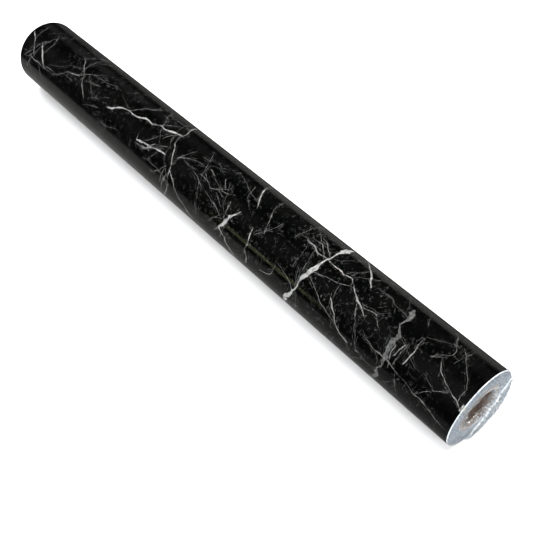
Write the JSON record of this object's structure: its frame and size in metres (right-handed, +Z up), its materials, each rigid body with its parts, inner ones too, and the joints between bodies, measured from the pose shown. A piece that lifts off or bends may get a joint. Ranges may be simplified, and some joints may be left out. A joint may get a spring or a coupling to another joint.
{
  "type": "roll of sign vinyl",
  "caption": "Long roll of printed black marble self-adhesive vinyl on a paperboard core, overwrapped in clear film with gathered ends and a lap flap.",
  "frame": {"origin": "middle of the core's axis, half way along the roll", "axes": "+X along the roll's axis towards the near end, +Z up with the roll lying on its side"},
  "size_m": [1.225, 0.1418, 0.1412],
  "materials": {
    "paperboard": "matt spiral-wound brown board",
    "double_sided_tape": "milky adhesive tape",
    "web_edge": "fine ridges of pale blue-grey liner edges and vinyl edges",
    "release_liner": "smooth siliconed paper",
    "marble_vinyl": "glossy black marble print with white and grey veins",
    "clear_tape": "clear packing tape",
    "clear_film": "clear shiny wrinkled film"
  },
  "bodies": {
    "roll": {"core_tube": "paperboard", "core_start_tape": "double_sided_tape", "inner_turns": "web_edge", "outer_turn_liner": "release_liner", "outer_turn_film": "marble_vinyl", "wrap_sleeve": "clear_film"},
    "flap": {"wrap_flap": "clear_film", "seam_tapes": "clear_tape"},
    "web_tail": {"tail_film": "marble_vinyl", "tail_tapes": "clear_tape"},
    "liner_end": {"tail_liner": "release_liner"},
    "near_wrap_end": {"near_end_skirt": "clear_film", "near_end_tuck": "clear_film", "near_rim_tape": "clear_tape"},
    "far_wrap_end": {"far_end_skirt": "clear_film", "far_end_tuck": "clear_film"}
  },
  "joints": [
    {"name": "flap_open", "type": "hinge", "parent": "roll", "child": "flap", "pos_m": [0, 0.06166, -0.0356], "axis": [-1, 0, 0], "range_deg": [0, 100]},
    {"name": "tail_lift", "type": "hinge", "parent": "roll", "child": "web_tail", "pos_m": [0, 0.06473, -0.02882], "axis": [-1, 0, 0], "range_deg": [0, 60]},
    {"name": "liner_peel", "type": "hinge", "parent": "web_tail", "child": "liner_end", "pos_m": [0, 0.06494, -0.02757], "axis": [1, 0, 0], "range_deg": [0, 25]},
    {"name": "near_end_pull", "type": "slide", "parent": "roll", "child": "near_wrap_end", "axis": [1, 0, 0], "range_m": [0, 0.06]},
    {"name": "far_end_pull", "type": "slide", "parent": "roll", "child": "far_wrap_end", "axis": [-1, 0, 0], "range_m": [0, 0.06]}
  ],
  "couplings": [
    {"joint": "tail_lift", "follows": "flap_open", "ratio": 0.6},
    {"joint": "liner_peel", "follows": "flap_open", "ratio": 0.25}
  ]
}
